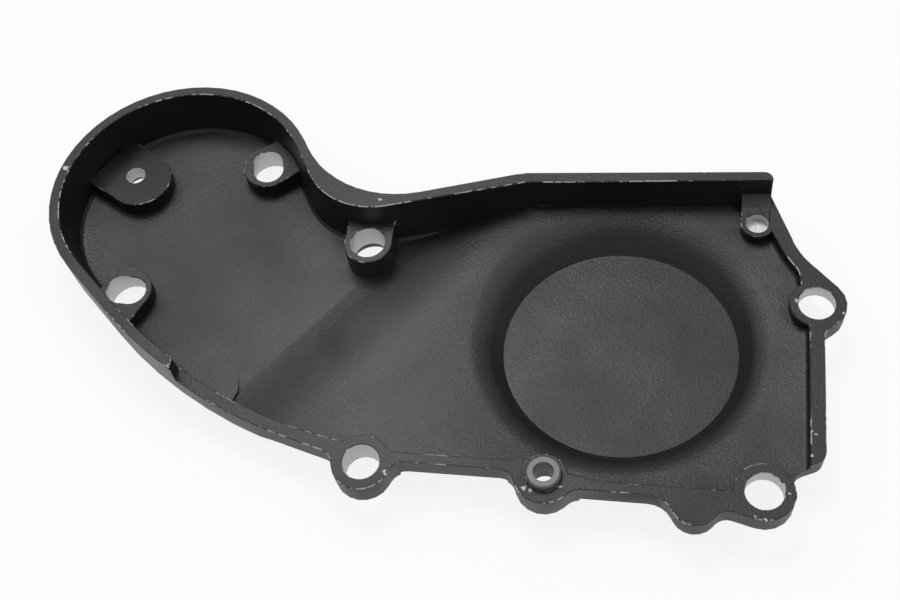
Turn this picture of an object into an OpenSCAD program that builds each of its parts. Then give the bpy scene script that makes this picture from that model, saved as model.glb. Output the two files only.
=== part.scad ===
// Cam cover trim: a black-coated die casting seen from its engine side, with one hollow dowel.
// The frame: origin on screw hole 1 at the mounting face, +Z towards the engine, the open side.
// Screw holes 1, the dowel and 3 lie along +X, and the front of the cover faces -Z.

/* [Round end] */
// Outer radius of the round end at its rim
lobe_r = 35.5; // [34.5:0.1:36.2]
// Centre of the round end, along X
lobe_x = -59.8; // [-61:0.1:-59.6]
// Centre of the round end, along Y
lobe_y = 72.1; // [71.5:0.1:73.5]
// Depth of its floor below the mounting face
lobe_depth = 7.4; // [6.2:0.1:8.5]

/* [Walls] */
// Height of the tall wall above the mounting face
rim_h = 6.5; // [3:0.1:12]
// Thickness of the tall wall at its rim
rim_t = 2.7; // [2:0.1:3.4]
// Thickness of the floors
floor_t = 2.6; // [1.8:0.1:3.2]
// Depth of the shelf inside the mounting land
shelf_depth = 3; // [2:0.1:4]
// Width of the mounting land on the straight right side
land_w = 3.1; // [2.4:0.1:3.8]
// Width of the mounting land along the low side
low_land_w = 2; // [1.6:0.1:2.6]
// Place of the square end of the tall wall on the low side, along X
rim_end_x = -49.8; // [-56:0.1:-44]
// Draft of the outer walls, in degrees
outer_draft = 2.5; // [1:0.1:3.5]
// Draft of the inner walls, in degrees
inner_draft = 6.5; // [4:0.1:8]
// Fillet where the floors meet the walls
floor_fillet = 2; // [1:0.1:2.5]
// Rounding of the front edge
front_round = 3.4; // [2:0.1:3.6]

/* [Round pocket] */
// Radius of the pocket floor
pocket_r = 29.1; // [26:0.1:30]
// Centre of the pocket, along X
pocket_x = 58.3; // [57:0.1:60]
// Centre of the pocket, along Y
pocket_y = 39.4; // [39:0.1:41]
// Depth of the pocket floor below the mounting face
pocket_depth = 9.2; // [7:0.1:11]
// How far the pocket lip runs on towards the top wall
pocket_run = 5; // [3:0.1:6]

/* [Screw holes] */
// Diameter of the four round screw holes
screw_d = 9; // [7:0.1:9.6]
// Outer radius of the lugs
lug_r = 7.5; // [6.8:0.1:7.8]
// Thickness of the lugs on the right side
lug_t = 3.5; // [3:0.1:4.5]
// Depth of the screw head seats below the mounting face
seat_depth = 7; // [6.6:0.1:7.1]
// Radius of the screw head seats in the front
seat_r = 5.6; // [5.2:0.1:5.7]
// Screw hole 3, low right corner, along X
hole3_x = 93.2; // [92.6:0.1:93.8]
// Screw hole 4, right side, along X
hole4_x = 105.2; // [104.8:0.1:105.6]
// Screw hole 4, along Y
hole4_y = 51.1; // [50:0.1:52]
// Screw hole 2, in the neck, along X
hole2_x = -8.3; // [-9:0.1:-7.5]
// Screw hole 2, along Y
hole2_y = 62.4; // [61:0.1:63]
// Radius of the neck post at its top
post_r = 6.3; // [5.6:0.1:6.8]
// Radius of the open fillets beside the lugs
lug_fillet = 3.4; // [2.5:0.1:3.8]

/* [Round end bosses] */
// Depth of the boss tops below the mounting face
boss_depth = 3; // [2:0.1:4]
// Radius of the two slotted bosses
boss_r = 6.8; // [6.2:0.1:7.2]
// Width of the slots
slot_w = 8.2; // [7:0.1:9]
// Length of the slots, end to end
slot_l = 10.6; // [9.5:0.1:11]
// Diameter of the small through hole
small_d = 5; // [3:0.1:6]
// Radius of the pad round the small hole
pad_r = 8.8; // [7.5:0.1:9.5]
// Height of the faint pad near the end of the tall wall
faint_h = 0.8; // [0.4:0.1:1.5]
// Radius of the faint pad
faint_r = 7.5; // [6:0.1:8]

/* [Dowel and blind hole] */
// Place of the dowel along X
dowel_x = 43.2; // [42.4:0.1:44]
// Outer diameter of the hollow dowel
dowel_d = 8.3; // [7.5:0.1:8.8]
// Bore of the hollow dowel
dowel_bore = 4.9; // [4:0.1:5.5]
// Length of the hollow dowel
dowel_l = 5; // [4.5:0.1:6]
// How far the dowel stands out of the mounting face
dowel_proud = 1.8; // [1:0.1:2.5]
// Diameter of the screw hole below the dowel
under_d = 6; // [5.6:0.1:6.6]
// Place of the blind hole along X
blind_x = 90.7; // [90:0.1:91.2]
// Place of the blind hole along Y
blind_y = 74.2; // [73.6:0.1:74.8]
// Diameter of the blind hole
blind_d = 5.6; // [4:0.1:6]
// Depth of the blind hole
blind_h = 2.6; // [1.5:0.1:3.4]

/* [Hidden] */
$fn = 64;
eps = 0.05;
black_coat = "#2c2c2e";
bare_metal = "#a5a5a7";

// Places of the fasteners and of what stands in the round end
lobe = [lobe_x, lobe_y];
hole1 = [0, 0];
hole2 = [hole2_x, hole2_y];
hole3 = [hole3_x, 0];
hole4 = [hole4_x, hole4_y];
dowel = [dowel_x, 0];
blind = [blind_x, blind_y];
slot_a = lobe + 24.7 * [cos(40), sin(40)];
slot_b = lobe + 28.7 * [cos(247.5), sin(247.5)];
small_hole = lobe + 20.9 * [cos(149), sin(149)];
pad_centre = lobe + 19.1 * [cos(149.5), sin(149.5)];
faint_pad = [-43.4, 20.5];

// Edges that the outlines share, and the levels of the front
right_x = hole4.x + 2.05;
low_y = 0.4;
right_low_y = -3.3;
lobe_front = -lobe_depth - floor_t;
shelf_front = -shelf_depth - floor_t;
pocket_front = -pocket_depth - floor_t;
seat_z = -seat_depth;
lug_front = -lug_t;
far = 170;
side_inset = 0.12;
rim_inner_r = lobe_r - rim_t;

// The slope between the floor of the round end and the shelf: its foot line, heading and length
slope_foot = [-34.2, 23];
slope_heading = 53;
slope_l = 20;

// An outline is a belt round circles [x, y, r]: r above 0 is a corner, r below 0 is a hollow.
low_arc = [14.2, 124, 124];
neck_hollow = [-3.4, 101.9, lobe_r - 63.75];
bend = [31.5, 72.1, 10];
top_corner = [91.9, 83.6, 2];
upper_hollow = [118.3, 77, -20];

function beside(c, r, a) = [
    c.x + (r + lug_fillet + eps) * cos(a),
    c.y + (r + lug_fillet + eps) * sin(a),
    -lug_fillet
];
function low_hollow(c, side) =
    let (reach = lug_r + lug_fillet + eps, drop = lug_fillet - low_y)
    [c.x + side * sqrt(reach * reach - drop * drop), -drop, -lug_fillet];

// The outline of the flange, with its lugs
flange_outline = [
    [lobe.x, lobe.y, lobe_r],
    low_arc,
    beside(hole1, lug_r, 187),
    [hole1.x, hole1.y, lug_r],
    low_hollow(hole1, 1),
    low_hollow(dowel, -1),
    [dowel.x, dowel.y, lug_r],
    beside(dowel, lug_r, -37.5),
    [67.3, right_low_y - 5.6, -5.6],
    [77.8, -4.1, 5.9],
    [85.4, -8.8, -3],
    [hole3.x, hole3.y, lug_r],
    beside(hole3, lug_r, 18),
    [right_x - 3.8, 11.2, 3.8],
    [right_x + lug_fillet, hole4.y - 9.5, -lug_fillet],
    [hole4.x, hole4.y, lug_r],
    upper_hollow,
    top_corner,
    bend,
    neck_hollow
];
// The inner line of the walls: the same places, moved in by the rim and by the mounting land
inner_outline = [
    [lobe.x, lobe.y, rim_inner_r],
    [low_arc.x, low_arc.y, low_arc.z - rim_t],
    [4, low_y + low_land_w + 6, 6],
    [38, low_y + low_land_w - 6, -6],
    [56, right_low_y + low_land_w + 6, 6],
    [right_x - land_w - 8, right_low_y + low_land_w + 8, 8],
    [right_x - land_w - 6, hole4.y - 8, 6],
    [hole4.x - 7.4, hole4.y + 8, 4],
    [upper_hollow.x, upper_hollow.y, upper_hollow.z - land_w],
    [top_corner.x - 2.4, top_corner.y - 3.1 - rim_t, 2.8],
    [bend.x + 2, bend.y - rim_t, bend.z],
    [-9, 88.3, -19.3]
];
// Where the tall wall stops: this part of the plan is low
low_side = [
    [rim_end_x, -40],
    [150, -40],
    [150, top_corner.y + 4.9],
    [top_corner.x + 2.1, top_corner.y],
    [top_corner.x + 1.7, top_corner.y - 9.6],
    [40, 74],
    [0, 60],
    [rim_end_x, 60]
];

function limit(v) = max(-1, min(1, v));
function turned(a) = let (t = (a % 360 + 360) % 360) t > 345 ? t - 360 : t;
function grown(c, d) = c[2] > 0 ? [c.x, c.y, max(c[2] + d, eps)] : [c.x, c.y, min(c[2] + d, -eps)];
function heading(a, b) =
    atan2(b.y - a.y, b.x - a.x) - asin(limit((b[2] - a[2]) / norm([b.x - a.x, b.y - a.y])));
function sweep(a, b, c) =
    b[2] > 0 ? turned(heading(b, c) - heading(a, b)) : -turned(heading(a, b) - heading(b, c));
function around(list, i) = list[(i + len(list)) % len(list)];
function arc_step(r) = abs(r) > 60 ? 4 : abs(r) > 15 ? 7 : 20;
function steps(list, i) =
    max(1, ceil(abs(sweep(around(list, i - 1), list[i], around(list, i + 1))) / arc_step(list[i][2])));
// The points of a belt, with every circle grown by d: the same count whatever d is
function belt(list, d = 0) = [
    for (i = [0:len(list) - 1])
        let (
            a = grown(around(list, i - 1), d),
            b = grown(list[i], d),
            c = grown(around(list, i + 1), d),
            n = steps(list, i),
            start = heading(a, b) - 90,
            turn = sweep(a, b, c)
        )
        for (k = [0:n])
            [b.x, b.y] + b[2] * [cos(start + turn * k / n), sin(start + turn * k / n)]
];

// Triangles that fill a flat outline: corners with nothing inside them are cut off one by one
function side(a, b, c) = (b.x - a.x) * (c.y - a.y) - (b.y - a.y) * (c.x - a.x);
function holds(a, b, c, p) = side(a, b, p) >= 0 && side(b, c, p) >= 0 && side(c, a, p) >= 0;
function crowded(pts, left, t) = len([
    for (i = left)
        if (i != t[0] && i != t[1] && i != t[2] && holds(pts[t[0]], pts[t[1]], pts[t[2]], pts[i])) i
]) > 0;
function corner_at(left, k) = [around(left, k - 1), left[k], around(left, k + 1)];
function free_corner(pts, left, k = 0) =
    let (t = corner_at(left, k))
    side(pts[t[0]], pts[t[1]], pts[t[2]]) > eps * eps && !crowded(pts, left, t) ? k : free_corner(pts, left, k + 1);
function filled(pts, left) =
    len(left) == 3 ? [left] :
    let (k = free_corner(pts, left))
    concat([corner_at(left, k)], filled(pts, [for (i = [0:len(left) - 1]) if (i != k) left[i]]));

// A closed skin through belts: stations are [z, growth], from the lowest to the highest
module skin(list, stations) {
    rings = [for (s = stations) [for (p = belt(list, s[1])) [p.x, p.y, s[0]]]];
    loft(rings);
}

// A closed skin through rings of points that all have the same count
module loft(rings) {
    n = len(rings[0]);
    m = len(rings);
    sides = [
        for (k = [0:m - 2])
            for (i = [0:n - 1])
                let (j = (i + 1) % n, lo = k * n, up = lo + n)
                each [[lo + i, up + i, up + j], [lo + i, up + j, lo + j]]
    ];
    first = [for (i = [0:n - 1]) i];
    bottom = filled(rings[0], first);
    top = [for (t = filled(rings[m - 1], first)) [for (i = [2, 1, 0]) t[i] + (m - 1) * n]];
    polyhedron(points = [for (r = rings) each r], faces = concat(sides, bottom, top));
}

function taper(z, a) = (z - rim_h) * tan(a);
// Stations of an outer wall: a rounded front edge at z0, moved out by d
function edge_stations(z0, r, d = 0) = [
    for (a = [0:30:90])
        [z0 + r * (1 - cos(a)), -r * (1 - sin(a)) + taper(z0 + r, outer_draft) + d]
];
// Stations of a cavity: a fillet at the floor z0, moved out by d
function fillet_stations(z0, r, d = 0) = [
    for (a = [0:30:90])
        [z0 + r * (1 - cos(a)), -r * (1 - sin(a)) + taper(z0 + r, inner_draft) + d]
];

// The slope in side view, from lo up to hi: [part of the length, part of the height]
slope_curve = [[-0.08, -0.08], [0.08, 0.04], [0.22, 0.14], [0.78, 0.86], [0.92, 0.96], [1.08, 1.08]];
function slope_points(lo, hi, shift) = [
    for (p = slope_curve) [p.x * slope_l + shift, min(lo + p.y * (hi - lo), hi + eps * 8)]
];

// A side view [along the slope, height] drawn out across the whole plan
module across(profile) {
    translate([slope_foot.x, slope_foot.y, 0])
        rotate([0, 0, slope_heading - 90])
            rotate([90, 0, 0])
                translate([0, 0, -far])
                    linear_extrude(height = 2 * far)
                        polygon(profile);
}

// What lies on the round end's side of the slope
module slope_mask(lo, hi) {
    across(concat([[-far, far], [-far, lo - 5], [-4, lo - 5]], slope_points(lo, hi, 0), [[1.08 * slope_l, far]]));
}

// What lies below the front of the tray, on the other side of the slope
module below_tray() {
    lo = lobe_front;
    hi = shelf_front;
    shift = floor_t / 2;
    foot = shift - 0.08 * slope_l;
    across(concat(
        [[foot, lo - 20]],
        [for (k = [0:4]) slope_points(lo, hi, shift)[k]],
        [[slope_l + shift, hi], [2 * far, hi], [2 * far, lo - 20]]
    ));
}

// The round pocket: a circle at its floor, widening to a lip that runs on to the top wall
function pocket_ring(z, r, run) = [
    for (a = [0:7.5:359])
        [pocket_x + r * cos(a), pocket_y + r * sin(a) + (sin(a) > 0 ? run * pow(sin(a), 0.4) : 0), z]
];
// Its lip in plan and height: [part of the depth, growth, part of the run]
pocket_lip = [
    [0, 0, 0], [0.08, 0.5, 0], [0.55, 2.6, 0.3], [0.78, 4.2, 0.5], [0.93, 6.6, 0.8], [1.06, 10, 1]
];
module pocket_form() {
    depth = pocket_depth - shelf_depth;
    intersection() {
        loft([
            for (p = pocket_lip)
                pocket_ring(p[0] * depth - pocket_depth, pocket_r + p[1], p[2] * pocket_run)
        ]);
        skin(inner_outline, [[-pocket_depth - 1, -4], [-shelf_depth - 0.8, -1.6], [1 - shelf_depth, -0.6]]);
    }
}

module upright(c, r, z0, z1) {
    translate([c.x, c.y, z0])
        cylinder(h = z1 - z0, r = r);
}

// The front of the pocket: a round dome that stands out of the tray
module dome() {
    r = pocket_r + floor_t;
    top = -shelf_depth - floor_t / 2;
    translate([pocket_x, pocket_y, 0])
        rotate_extrude()
            polygon([[0, top], [0, pocket_front], [r - 2.4, pocket_front], [r - 0.8, pocket_front + 0.7],
                [r + 0.4, pocket_front + 2.4], [r + 3.6, shelf_front - 1.2], [r + 7.5, top]]);
}

// The outer form, solid: the walls, cut away where they are low, and the dome
module outer_form() {
    union() {
        difference() {
            skin(flange_outline, concat(edge_stations(lobe_front, front_round), [[rim_h, 0]]));
            linear_extrude(height = rim_h + 1)
                polygon(low_side);
            difference() {
                below_tray();
                for (c = [hole1, dowel])
                    upright(c, lug_r + 1.2, seat_z, 0);
            }
        }
        dome();
    }
}

// The open inside: the shelf all over, the round end below it, and the pocket
module inner_form() {
    top = rim_h + 1;
    union() {
        intersection() {
            skin(inner_outline, concat(fillet_stations(-lobe_depth, floor_fillet), [[top, taper(top, inner_draft)]]));
            union() {
                skin(inner_outline, concat(
                    fillet_stations(-shelf_depth, floor_fillet * 0.75, 0.2),
                    [[0.6 - shelf_depth + floor_fillet, 2], [top + 1, 2]]
                ));
                slope_mask(-lobe_depth, -shelf_depth);
            }
        }
        pocket_form();
    }
}

// A boss that grows out of a wall: a round nose at c, with sides that run out along heading a
module wall_boss(c, r, a, z0, z1, reach) {
    w = r - side_inset;
    translate([c.x, c.y, z0])
        rotate([0, 0, a])
            linear_extrude(height = z1 - z0)
                union() {
                    circle(r = r);
                    translate([0, -w])
                        square([reach, 2 * w]);
                }
}

// A slot with round ends, long along heading a
module slot(c, a, z0, z1) {
    half = (slot_l - slot_w) / 2;
    translate([c.x, c.y, z0])
        rotate([0, 0, a])
            linear_extrude(height = z1 - z0)
                union() {
                    for (x = [-half, half])
                        translate([x, 0])
                            circle(d = slot_w);
                    square([2 * half, slot_w - side_inset / 2], center = true);
                }
}

// What stands inside: lug rims, posts and pads, up to their own tops
module inner_bosses() {
    deep = -lobe_depth - floor_t / 2;
    upright(hole1, lug_r - 0.5, deep, 0);
    upright(dowel, dowel_d / 2 + 1.3, seat_z, 0);
    upright(hole3, lug_r - 0.5, shelf_front + 0.6, 0);
    upright(hole4, lug_r - 0.9, shelf_front + 0.6, 0);
    wall_boss(hole2, post_r, 90, deep, 0, 10);
    wall_boss(slot_a, boss_r, 40, deep, -boss_depth, 8);
    wall_boss(slot_b, boss_r, 247.5, deep, -boss_depth, 12);
    wall_boss(pad_centre, pad_r, 149.5, deep, -boss_depth, 12);
    wall_boss(faint_pad, faint_r, 241, deep, faint_h - lobe_depth, 8);
    blind_boss();
}

// The small square-backed boss under the top wall, with a lifted strip along the wall
module blind_boss() {
    r = blind_d / 2 + 1.4;
    back = 7.6;
    fold = 4.6;
    upright(blind, r, shelf_front + 1, 0);
    translate([blind.x, blind.y, shelf_front + 1])
        rotate([90, 0, 90])
            translate([0, 0, -r])
                linear_extrude(height = 2 * r)
                    polygon([[0, 0], [back, 0], [back, 1.2 - shelf_front - 1], [fold, -shelf_front - 1],
                        [0, -shelf_front - 1]]);
}

// Everything drilled: the screw holes, head seats, slots, small hole, dowel seat and blind hole
module drilled() {
    past = 1;
    for (c = [hole1, hole2, hole3, hole4])
        upright(c, screw_d / 2, pocket_front, past);
    for (c = [hole2, slot_a, slot_b])
        upright(c, seat_r, lobe_front - past, seat_z);
    upright(small_hole, small_d / 2 + 2, lobe_front - past, seat_z);
    for (c = [hole3, hole4])
        upright(c, seat_r + 0.4, pocket_front, lug_front);
    slot(slot_a, 103, lobe_front, 0);
    slot(slot_b, -4, lobe_front, 0);
    upright(small_hole, small_d / 2, lobe_front, 0);
    upright(dowel, dowel_d / 2, dowel_proud - dowel_l, past);
    upright(dowel, under_d / 2, seat_z - past, 0);
    upright(blind, blind_d / 2, -blind_h, past);
}

// The casting, one solid
module cover() {
    color(black_coat)
        difference() {
            outer_form();
            difference() {
                inner_form();
                inner_bosses();
            }
            drilled();
        }
}

// The hollow dowel, pressed into its boss, with broken outer edges
module hollow_dowel() {
    edge = 0.4;
    r = dowel_d / 2;
    bore = dowel_bore / 2;
    color(bare_metal)
        translate([dowel.x, dowel.y, dowel_proud - dowel_l])
            rotate_extrude()
                polygon([[bore, 0], [r, 0], [r, dowel_l - edge], [r - edge, dowel_l], [bore, dowel_l]]);
}

cover();
hollow_dowel();
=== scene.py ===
import math

import bpy
import bmesh
from mathutils import Matrix, Vector


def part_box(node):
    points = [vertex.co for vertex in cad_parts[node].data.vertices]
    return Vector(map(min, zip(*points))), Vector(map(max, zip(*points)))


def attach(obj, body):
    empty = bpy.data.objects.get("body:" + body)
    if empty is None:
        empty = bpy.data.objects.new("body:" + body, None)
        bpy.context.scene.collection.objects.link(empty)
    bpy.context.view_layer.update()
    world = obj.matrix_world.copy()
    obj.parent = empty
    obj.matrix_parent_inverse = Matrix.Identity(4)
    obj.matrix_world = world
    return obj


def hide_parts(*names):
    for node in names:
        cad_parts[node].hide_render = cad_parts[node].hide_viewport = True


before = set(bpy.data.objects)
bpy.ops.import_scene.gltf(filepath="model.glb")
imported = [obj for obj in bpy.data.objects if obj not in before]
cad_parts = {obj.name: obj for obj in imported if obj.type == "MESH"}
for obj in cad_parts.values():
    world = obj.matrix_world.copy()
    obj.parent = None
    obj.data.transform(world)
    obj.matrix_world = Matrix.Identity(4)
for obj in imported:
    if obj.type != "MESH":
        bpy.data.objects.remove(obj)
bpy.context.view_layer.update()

# The cast surface, shared by the coat, its worn edges and the drilled metal: a fine grain for
# relief, a cloud for patches of sheen, sparse specks where the coat has come off an edge, the
# chips, which are ragged spots round the places listed below, and a painted highlight: a patchy
# lighter area on the plateau between the round end and the pocket, for the light it reflects.
grain = bpy.data.node_groups.new("cast_grain", "ShaderNodeTree")
for name in ("Relief", "Cloud", "Specks", "Chips", "PaintedSheen"):
    grain.interface.new_socket(name, in_out="OUTPUT", socket_type="NodeSocketFloat")
g = grain.nodes
gl = grain.links
coords = g.new("ShaderNodeTexCoord")


def noise(scale, detail):
    made = g.new("ShaderNodeTexNoise")
    made.inputs["Scale"].default_value = scale
    made.inputs["Detail"].default_value = detail
    gl.new(coords.outputs["Object"], made.inputs["Vector"])
    return made.outputs["Fac"]


def ramp(value, low, high):
    made = g.new("ShaderNodeMapRange")
    made.inputs["From Min"].default_value = low
    made.inputs["From Max"].default_value = high
    gl.new(value, made.inputs["Value"])
    return made.outputs["Result"]


def combine(operation, *values):
    made = g.new("ShaderNodeMath")
    made.operation = operation
    for socket, value in zip(made.inputs, values):
        if isinstance(value, float):
            socket.default_value = value
        else:
            gl.new(value, socket)
    return made.outputs["Value"]


chip_places = [
    ((0.1004, 0.0514, 0.0), 0.0007), ((0.1115, 0.0487, 0.0), 0.0006), ((0.1037, 0.0163, 0.0), 0.0005),
    ((0.1046, 0.0154, 0.0), 0.0004), ((0.1012, 0.0092, 0.0), 0.0006), ((0.1025, 0.0098, 0.0), 0.0007),
    ((0.1036, 0.0099, 0.0), 0.0005), ((0.0959, 0.0030, 0.0), 0.0006), ((0.0974, 0.0017, 0.0), 0.0007),
    ((0.0987, 0.0000, 0.0), 0.0005), ((0.0911, -0.0065, 0.0), 0.0006), ((0.0935, -0.0070, 0.0), 0.0006),
    ((0.0390, -0.0037, 0.0), 0.0008), ((0.0405, -0.0041, 0.0), 0.0006), ((0.0472, -0.0027, 0.0), 0.0005),
    ((0.0065, -0.0023, 0.0), 0.0009), ((0.0020, 0.0066, 0.0), 0.0004), ((0.0061, 0.0034, 0.0), 0.0004),
    ((0.0767, 0.0850, 0.0065), 0.0007), ((-0.0933, 0.0773, 0.0065), 0.0010),
    ((-0.0926, 0.0584, 0.0065), 0.0006), ((-0.0503, 0.0185, 0.0065), 0.0007),
    ((-0.0056, 0.0714, 0.0065), 0.0006), ((-0.0002, 0.0707, 0.0065), 0.0005),
]


def spot(place, outer, inner):
    gap = g.new("ShaderNodeVectorMath")
    gap.operation = "DISTANCE"
    gap.inputs[1].default_value = place
    gl.new(coords.outputs["Object"], gap.inputs[0])
    return ramp(gap.outputs["Value"], outer, inner)


chips = combine("MULTIPLY", 0.0, 0.0)
for place, radius in chip_places:
    chips = combine("MAXIMUM", chips, spot(place, radius * 2.4, radius * 0.4))
cloud = noise(45, 5)
# Painted highlight: a patchy lighter area on the plateau between the round end and the pocket.
painted_sheen = combine("MULTIPLY", spot((-0.004, 0.030, -0.003), 0.048, 0.006), ramp(cloud, 0.2, 0.6))
out = g.new("NodeGroupOutput")
gl.new(combine("MULTIPLY_ADD", noise(1000, 2), 0.7, noise(2300, 2)), out.inputs["Relief"])
gl.new(cloud, out.inputs["Cloud"])
gl.new(painted_sheen, out.inputs["PaintedSheen"])
gl.new(ramp(combine("MULTIPLY", noise(620, 3), noise(90, 1)), 0.27, 0.33), out.inputs["Specks"])
gl.new(ramp(combine("MULTIPLY", chips, noise(1300, 3)), 0.42, 0.47), out.inputs["Chips"])

# The casting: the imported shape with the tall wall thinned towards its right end, which is open,
# and its sharp corners eased, as a coated casting has them. Faces that were drilled after coating,
# inside the holes, are bare metal, and the pad round the small hole is faced smooth.
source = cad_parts["cover"]
casting_mesh = bpy.data.meshes.new("cover_casting")
shape = bmesh.new()
shape.from_mesh(source.data)
bmesh.ops.remove_doubles(shape, verts=shape.verts, dist=2e-6)
shape.to_mesh(casting_mesh)
shape.free()
casting = bpy.data.objects.new("cover_casting", casting_mesh)
bpy.context.scene.collection.objects.link(casting)

rim = 0.0065
above = 0.009
lean = math.tan(math.radians(6.5))
wall_start = (0.031, 0.07902)
wall_end = (0.0925, 0.0831)


def wall_y(x, z):
    """The thinned wall's inner face."""
    along = (x - wall_start[0]) / (wall_end[0] - wall_start[0])
    return wall_start[1] + along * (wall_end[1] - wall_start[1]) + (z - rim) * lean


def cut(name, x_range, floor_line):
    """Takes away what lies between floor_line, a list of (y, z), and the wall's inner face."""
    points = []
    for x in x_range:
        points += [(x, y, z) for y, z in floor_line]
        points += [(x, wall_y(x, z), z) for z in (floor_line[-1][1], above)]
        points.append((x, floor_line[0][0], above))
    block = bmesh.new()
    corners = [block.verts.new(p) for p in points]
    hull = bmesh.ops.convex_hull(block, input=corners)
    bmesh.ops.delete(block, geom=list(set(hull["geom_interior"])), context="VERTS")
    block_mesh = bpy.data.meshes.new(name)
    block.to_mesh(block_mesh)
    block.free()
    cutter = bpy.data.objects.new(name, block_mesh)
    bpy.context.scene.collection.objects.link(cutter)
    modifier = casting.modifiers.new(name, "BOOLEAN")
    modifier.operation = "DIFFERENCE"
    modifier.solver = "EXACT"
    modifier.object = cutter
    return cutter


shelf = -0.00299
land = 0.00002
cutters = [
    cut("thin_wall", (wall_start[0], 0.0866), [(0.076, shelf)]),
    cut("open_end", (0.0866, 0.098), [(0.066, land), (0.0788, land), (0.0820, 0.0013)]),
]
opened = bpy.data.meshes.new_from_object(
    casting.evaluated_get(bpy.context.evaluated_depsgraph_get())
)
casting.modifiers.clear()
for cutter in cutters:
    bpy.data.meshes.remove(cutter.data)

opened.materials.clear()
shape = bmesh.new()
shape.from_mesh(opened)
bmesh.ops.dissolve_limit(
    shape, angle_limit=math.radians(0.6), verts=shape.verts, edges=shape.edges
)
bmesh.ops.triangulate(shape, faces=[f for f in shape.faces if len(f.verts) > 4])
bores = [
    (0.0, 0.0, 0.0045), (-0.0083, 0.0624, 0.0045), (0.0932, 0.0, 0.0045), (0.1052, 0.0511, 0.0045),
    (-0.0409, 0.0880, 0.0053), (-0.0708, 0.0456, 0.0053), (-0.0777, 0.0829, 0.0025),
    (0.0907, 0.0742, 0.0028),
]
pad = (-0.0777, 0.0829, 0.0125)
pad_top = -0.003
for face in shape.faces:
    face.smooth = True
    middle = face.calc_center_median()
    if middle.z > 0.0005:
        continue
    if abs(face.normal.z - 1) < 0.01 and abs(middle.z - pad_top) < 0.0001:
        if math.hypot(middle.x - pad[0], middle.y - pad[1]) < pad[2]:
            face.material_index = 3
    for x, y, r in bores:
        inside = all(math.hypot(v.co.x - x, v.co.y - y) < r + 0.0003 for v in face.verts)
        if inside and (abs(face.normal.z) < 0.3 or middle.z < -0.001):
            face.material_index = 1
weight = shape.edges.layers.float.new("bevel_weight_edge")
wall_corner = (0.0905, 0.0815)
block_corner = (0.084, 0.069)
for edge in shape.edges:
    edge.smooth = edge.calc_face_angle(0.0) < math.radians(28)
    ends = [v.co for v in edge.verts]
    small = any(p.x > wall_corner[0] and p.y > wall_corner[1] for p in ends)
    small = small or any(
        p.x > block_corner[0] and p.y > block_corner[1] and p.z < -0.0001 for p in ends
    )
    lowest = min(p.z for p in ends)
    seen = lowest > -0.0035 and not (lowest < -0.0025 and ends[0].x > 0.02)
    if seen and not small and edge.calc_face_angle_signed(0.0) > math.radians(40):
        edge[weight] = 1.0
shape.to_mesh(opened)
shape.free()
casting.data = opened

coat = bpy.data.materials.new("black_coat")
coat.use_nodes = True
n = coat.node_tree.nodes
l = coat.node_tree.links
skin = n["Principled BSDF"]
texture = n.new("ShaderNodeGroup")
texture.node_tree = grain
rough = n.new("ShaderNodeMapRange")
rough.inputs["From Min"].default_value = 0.3
rough.inputs["From Max"].default_value = 0.7
rough.inputs["To Min"].default_value = 0.36
rough.inputs["To Max"].default_value = 0.5
tone = n.new("ShaderNodeMix")
tone.data_type = "RGBA"
tone.inputs["B"].default_value = (0.5, 0.49, 0.47, 1)
# Painted highlight: over that patch the coat's colour is lifted from near black to dark grey.
painted_sheen_tone = n.new("ShaderNodeMix")
painted_sheen_tone.data_type = "RGBA"
painted_sheen_tone.inputs["A"].default_value = (0.006, 0.006, 0.0066, 1)
painted_sheen_tone.inputs["B"].default_value = (0.042, 0.042, 0.043, 1)
l.new(texture.outputs["PaintedSheen"], painted_sheen_tone.inputs["Factor"])
l.new(painted_sheen_tone.outputs["Result"], tone.inputs["A"])
l.new(texture.outputs["Chips"], tone.inputs["Factor"])
l.new(tone.outputs["Result"], skin.inputs["Base Color"])
l.new(texture.outputs["Cloud"], rough.inputs["Value"])
l.new(rough.outputs["Result"], skin.inputs["Roughness"])
bump = n.new("ShaderNodeBump")
bump.inputs["Strength"].default_value = 0.6
bump.inputs["Distance"].default_value = 0.00018
l.new(texture.outputs["Relief"], bump.inputs["Height"])
l.new(bump.outputs["Normal"], skin.inputs["Normal"])
opened.materials.append(coat)

bare = bpy.data.materials.new("drilled_metal")
bare.use_nodes = True
n = bare.node_tree.nodes
l = bare.node_tree.links
drilled = n["Principled BSDF"]
drilled.inputs["Base Color"].default_value = (0.62, 0.61, 0.6, 1)
drilled.inputs["Metallic"].default_value = 0.7
drilled.inputs["Roughness"].default_value = 0.5
texture = n.new("ShaderNodeGroup")
texture.node_tree = grain
bump = n.new("ShaderNodeBump")
bump.inputs["Strength"].default_value = 0.4
bump.inputs["Distance"].default_value = 0.0003
l.new(texture.outputs["Relief"], bump.inputs["Height"])
l.new(bump.outputs["Normal"], drilled.inputs["Normal"])
opened.materials.append(bare)

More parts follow.
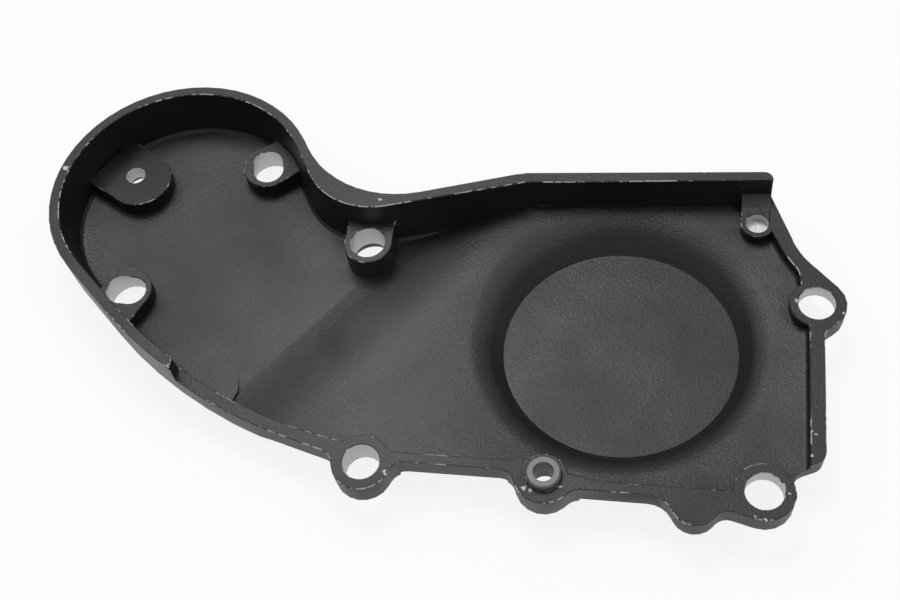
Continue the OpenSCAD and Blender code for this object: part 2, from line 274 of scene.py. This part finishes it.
# The narrow bevel on every sharp edge carries its own material, where the coat is rubbed thin
# and flecked with bare metal.
worn = bpy.data.materials.new("worn_edge")
worn.use_nodes = True
n = worn.node_tree.nodes
l = worn.node_tree.links
edge_skin = n["Principled BSDF"]
edge_skin.inputs["Roughness"].default_value = 0.42
texture = n.new("ShaderNodeGroup")
texture.node_tree = grain
wear = n.new("ShaderNodeMath")
wear.operation = "MAXIMUM"
tone = n.new("ShaderNodeMix")
tone.data_type = "RGBA"
tone.inputs["A"].default_value = (0.028, 0.028, 0.029, 1)
tone.inputs["B"].default_value = (0.5, 0.49, 0.47, 1)
l.new(texture.outputs["Specks"], wear.inputs[0])
l.new(texture.outputs["Chips"], wear.inputs[1])
l.new(wear.outputs["Value"], tone.inputs["Factor"])
l.new(tone.outputs["Result"], edge_skin.inputs["Base Color"])
bump = n.new("ShaderNodeBump")
bump.inputs["Strength"].default_value = 0.5
bump.inputs["Distance"].default_value = 0.0003
l.new(texture.outputs["Relief"], bump.inputs["Height"])
l.new(bump.outputs["Normal"], edge_skin.inputs["Normal"])
opened.materials.append(worn)

faced = bpy.data.materials.new("faced_coat")
faced.use_nodes = True
smooth_skin = faced.node_tree.nodes["Principled BSDF"]
smooth_skin.inputs["Base Color"].default_value = (0.006, 0.006, 0.0066, 1)
smooth_skin.inputs["Roughness"].default_value = 0.2
opened.materials.append(faced)

eased = casting.modifiers.new("eased_edges", "BEVEL")
eased.width = 0.0002
eased.segments = 1
eased.limit_method = "WEIGHT"
eased.use_clamp_overlap = False
eased.material = 2
finished = bpy.data.meshes.new_from_object(
    casting.evaluated_get(bpy.context.evaluated_depsgraph_get())
)
casting.modifiers.clear()
shape = bmesh.new()
shape.from_mesh(finished)
for edge in shape.edges:
    edge.smooth = edge.calc_face_angle(0.0) < math.radians(28)
shape.to_mesh(finished)
shape.free()
casting.data = finished
finished.name = "cover_casting"

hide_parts("cover")
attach(casting, "root")

# The hollow dowel pressed into the low edge: dull grey metal that was never coated.
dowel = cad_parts["hollow_dowel"]
grey = bpy.data.materials.new("dowel_metal")
grey.use_nodes = True
ring = grey.node_tree.nodes["Principled BSDF"]
ring.inputs["Base Color"].default_value = (0.15, 0.147, 0.15, 1)
ring.inputs["Metallic"].default_value = 0.6
ring.inputs["Roughness"].default_value = 0.5
dowel.data.materials.clear()
dowel.data.materials.append(grey)

# The white table below the pocket's front and the pale room round it. Seen by the camera, by
# glossy rays and through clear things, the table is nearly plain white and keeps a faint shadow.
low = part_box("cover")[0].z
floor_mesh = bpy.data.meshes.new("table_top")
s = 3.0
floor_mesh.from_pydata([(-s, -s, low), (s, -s, low), (s, s, low), (-s, s, low)], [], [(0, 1, 2, 3)])
floor = bpy.data.objects.new("table_top", floor_mesh)
bpy.context.scene.collection.objects.link(floor)
white = bpy.data.materials.new("table_white")
white.use_nodes = True
n = white.node_tree.nodes
l = white.node_tree.links
paper = n["Principled BSDF"]
paper.inputs["Base Color"].default_value = (0.9, 0.9, 0.9, 1)
paper.inputs["Roughness"].default_value = 0.9
paper.inputs["Specular IOR Level"].default_value = 0.0
seen = n.new("ShaderNodeEmission")
seen.inputs["Color"].default_value = (1, 1, 1, 1)
rays = n.new("ShaderNodeLightPath")
camera_or_glossy = n.new("ShaderNodeMath")
camera_or_glossy.operation = "MAXIMUM"
any_seen = n.new("ShaderNodeMath")
any_seen.operation = "MAXIMUM"
share = n.new("ShaderNodeMath")
share.operation = "MULTIPLY"
share.inputs[1].default_value = 0.86
table = n.new("ShaderNodeMixShader")
l.new(rays.outputs["Is Camera Ray"], camera_or_glossy.inputs[0])
l.new(rays.outputs["Is Glossy Ray"], camera_or_glossy.inputs[1])
l.new(camera_or_glossy.outputs["Value"], any_seen.inputs[0])
l.new(rays.outputs["Is Transmission Ray"], any_seen.inputs[1])
l.new(any_seen.outputs["Value"], share.inputs[0])
l.new(share.outputs["Value"], table.inputs["Fac"])
l.new(paper.outputs["BSDF"], table.inputs[1])
l.new(seen.outputs["Emission"], table.inputs[2])
l.new(table.outputs["Shader"], n["Material Output"].inputs["Surface"])
floor_mesh.materials.append(white)

world = bpy.data.worlds.new("room")
bpy.context.scene.world = world
world.use_nodes = True
sky = world.node_tree.nodes["Background"]
sky.inputs["Color"].default_value = (1, 1, 1, 1)
sky.inputs["Strength"].default_value = 0.45

# One soft lamp behind the tall wall, where the flat faces reflect it to the camera while the
# inner walls stay dark, a weaker one on the left for the slope, and a weak violet one from the
# right for the sheen on the pocket's lip.
for name, place, size, power, tint in (
    ("lamp_back", (-0.12, 0.45, 0.82), 0.38, 3.3, (1.0, 1.0, 1.0)),
    ("lamp_left", (-0.6, 0.4, 0.75), 0.45, 1.2, (1.0, 1.0, 1.0)),
    ("lamp_right", (0.55, 0.2, 0.95), 0.3, 1.6, (0.8, 0.78, 1.0)),
):
    data = bpy.data.lights.new(name, "AREA")
    data.shape = "SQUARE"
    data.size = size
    data.energy = power
    data.color = tint
    lamp = bpy.data.objects.new(name, data)
    lamp.location = place
    lamp.rotation_mode = "QUATERNION"
    lamp.rotation_quaternion = (Vector((0.0, 0.04, 0.0)) - Vector(place)).to_track_quat("-Z", "Y")
    bpy.context.scene.collection.objects.link(lamp)

# The camera stands in front of the low edge, looks down at the open side, and is rolled a little.
lens = bpy.data.cameras.new("camera")
lens.sensor_width = 36
lens.lens = 56.0
lens.clip_start = 0.01
camera = bpy.data.objects.new("camera", lens)
camera.matrix_world = Matrix((
    (0.98694, -0.05508, 0.15148, 0.0686),
    (0.12767, 0.84080, -0.52610, -0.1387),
    (-0.09839, 0.53856, 0.83683, 0.2940),
    (0, 0, 0, 1),
))
bpy.context.scene.collection.objects.link(camera)
bpy.context.scene.camera = camera
bpy.context.scene.view_settings.view_transform = "Standard"
